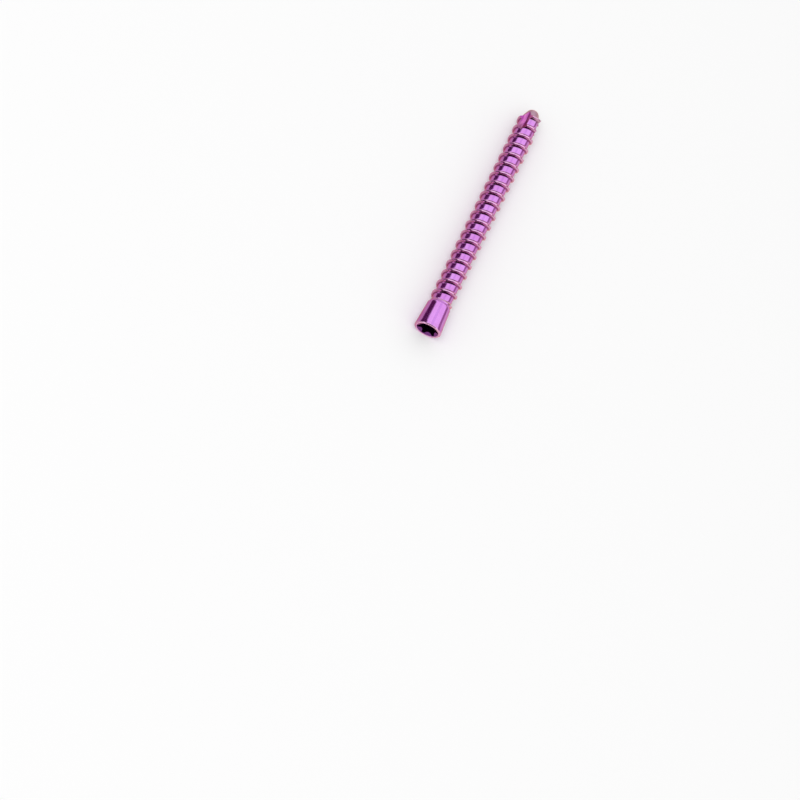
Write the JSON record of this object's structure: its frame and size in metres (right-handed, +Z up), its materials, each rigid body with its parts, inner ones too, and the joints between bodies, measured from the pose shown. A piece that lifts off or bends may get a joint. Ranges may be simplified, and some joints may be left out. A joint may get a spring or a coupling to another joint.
{
  "type": "locking bone screw",
  "caption": "Slender bone screw with a long tapered head, a six-lobed socket, a coarse single-start thread and a blunt fluted nose.",
  "frame": {"origin": "on the surface that the screw lies on, under the middle of its length", "axes": "+Y towards the nose, almost along the screw's axis, and +Z up; the axis dips by 0.35 degrees towards the nose, because the head is thicker than the thread"},
  "size_m": [0.0056, 0.055, 0.0056],
  "materials": {
    "anodised_titanium": "polished titanium anodised magenta to violet, with pink edges"
  },
  "bodies": {
    "root": {"bone_screw": "anodised_titanium"}
  },
  "joints": []
}
